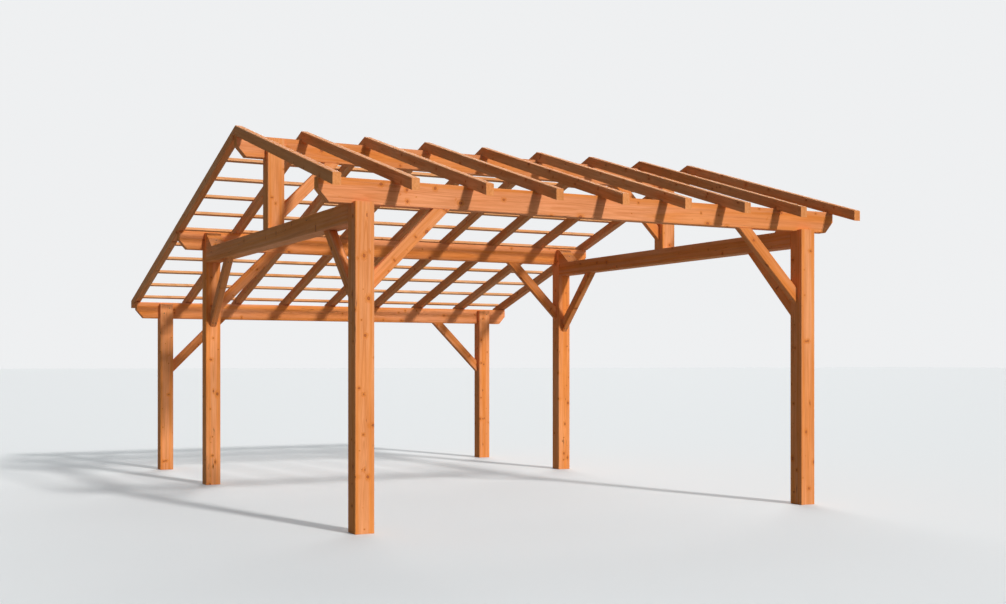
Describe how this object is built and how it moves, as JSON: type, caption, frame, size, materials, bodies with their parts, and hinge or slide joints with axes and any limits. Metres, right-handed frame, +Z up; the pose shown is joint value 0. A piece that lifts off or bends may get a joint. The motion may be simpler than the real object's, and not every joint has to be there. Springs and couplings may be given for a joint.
{
  "type": "timber carport",
  "caption": "Open timber carport frame for one car: halved posts, braced beams, king posts, notched rafters and rear roof battens.",
  "frame": {"origin": "on the ground, under the middle of the roof in plan", "axes": "+X across the bay to the right seen from the front, +Y from the front to the rear, +Z up"},
  "size_m": [4.55, 6.475, 3.1008],
  "materials": {
    "post_timber": "satin",
    "beam_timber": "satin",
    "brace_timber": "satin",
    "rafter_timber": "satin",
    "batten_timber": "satin"
  },
  "bodies": {
    "root": {"battens": "batten_timber", "beam_front": "beam_timber", "beam_mid": "beam_timber", "beam_rear": "beam_timber", "beam_ridge": "beam_timber", "brace_front_left": "brace_timber", "brace_front_right": "brace_timber", "brace_mid_left": "brace_timber", "brace_mid_right": "brace_timber", "brace_rear_left": "brace_timber", "brace_rear_right": "brace_timber", "brace_ridge_left": "brace_timber", "brace_ridge_right": "brace_timber", "king_post_left": "post_timber", "king_post_right": "post_timber", "post_front_left": "post_timber", "post_front_right": "post_timber", "post_mid_left": "post_timber", "post_mid_right": "post_timber", "post_rear_left": "post_timber", "post_rear_right": "post_timber", "rafter_front_1": "rafter_timber", "rafter_front_2": "rafter_timber", "rafter_front_3": "rafter_timber", "rafter_front_4": "rafter_timber", "rafter_front_5": "rafter_timber", "rafter_front_6": "rafter_timber", "rafter_front_7": "rafter_timber", "rafter_front_8": "rafter_timber", "rafter_front_9": "rafter_timber", "rafter_rear_1": "rafter_timber", "rafter_rear_2": "rafter_timber", "rafter_rear_3": "rafter_timber", "rafter_rear_4": "rafter_timber", "rafter_rear_5": "rafter_timber", "rafter_rear_6": "rafter_timber", "rafter_rear_7": "rafter_timber", "rafter_rear_8": "rafter_timber", "rafter_rear_9": "rafter_timber", "tie_brace_front_left": "brace_timber", "tie_brace_front_right": "brace_timber", "tie_brace_mid_left": "brace_timber", "tie_brace_mid_right": "brace_timber", "tie_left": "beam_timber", "tie_right": "beam_timber"}
  },
  "joints": []
}
